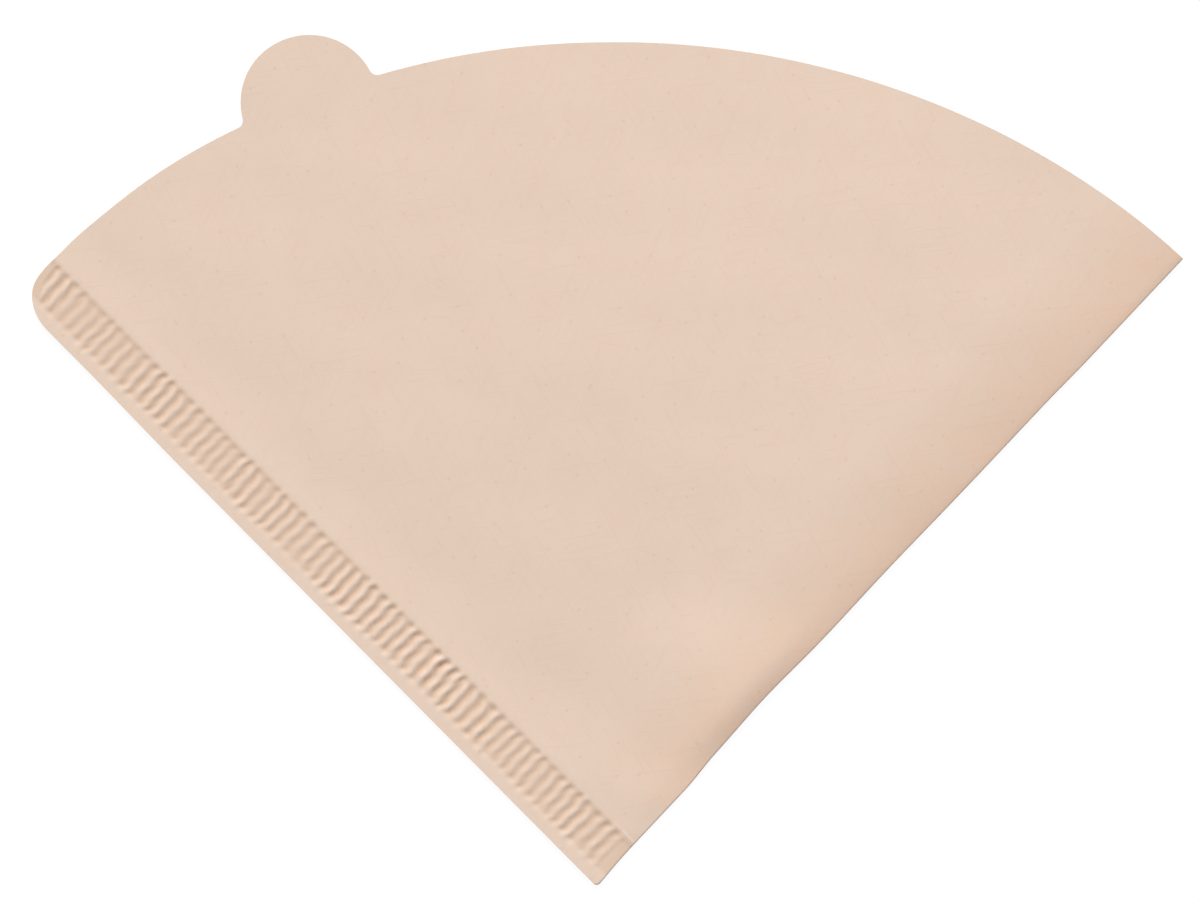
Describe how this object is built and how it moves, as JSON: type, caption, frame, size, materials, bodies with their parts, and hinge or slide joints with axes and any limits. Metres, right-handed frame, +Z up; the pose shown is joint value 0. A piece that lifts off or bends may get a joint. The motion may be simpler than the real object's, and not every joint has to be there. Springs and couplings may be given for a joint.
{
  "type": "paper coffee filter",
  "caption": "Cone coffee filter folded flat from one sheet of unbleached paper, with a crimped seam, an open curved mouth and a round pull tab.",
  "frame": {"origin": "under the middle of the box around the flat-folded filter, on the surface it lies on", "axes": "+Z up through the two layers, +Y from the tip of the cone towards the middle of the open mouth, +X towards the folded edge, so the crimped seam is on the -X side"},
  "size_m": [0.1676, 0.124, 0.0023],
  "materials": {
    "filter_paper": "matte unbleached filter paper"
  },
  "bodies": {
    "root": {"filter_paper": "filter_paper"}
  },
  "joints": []
}
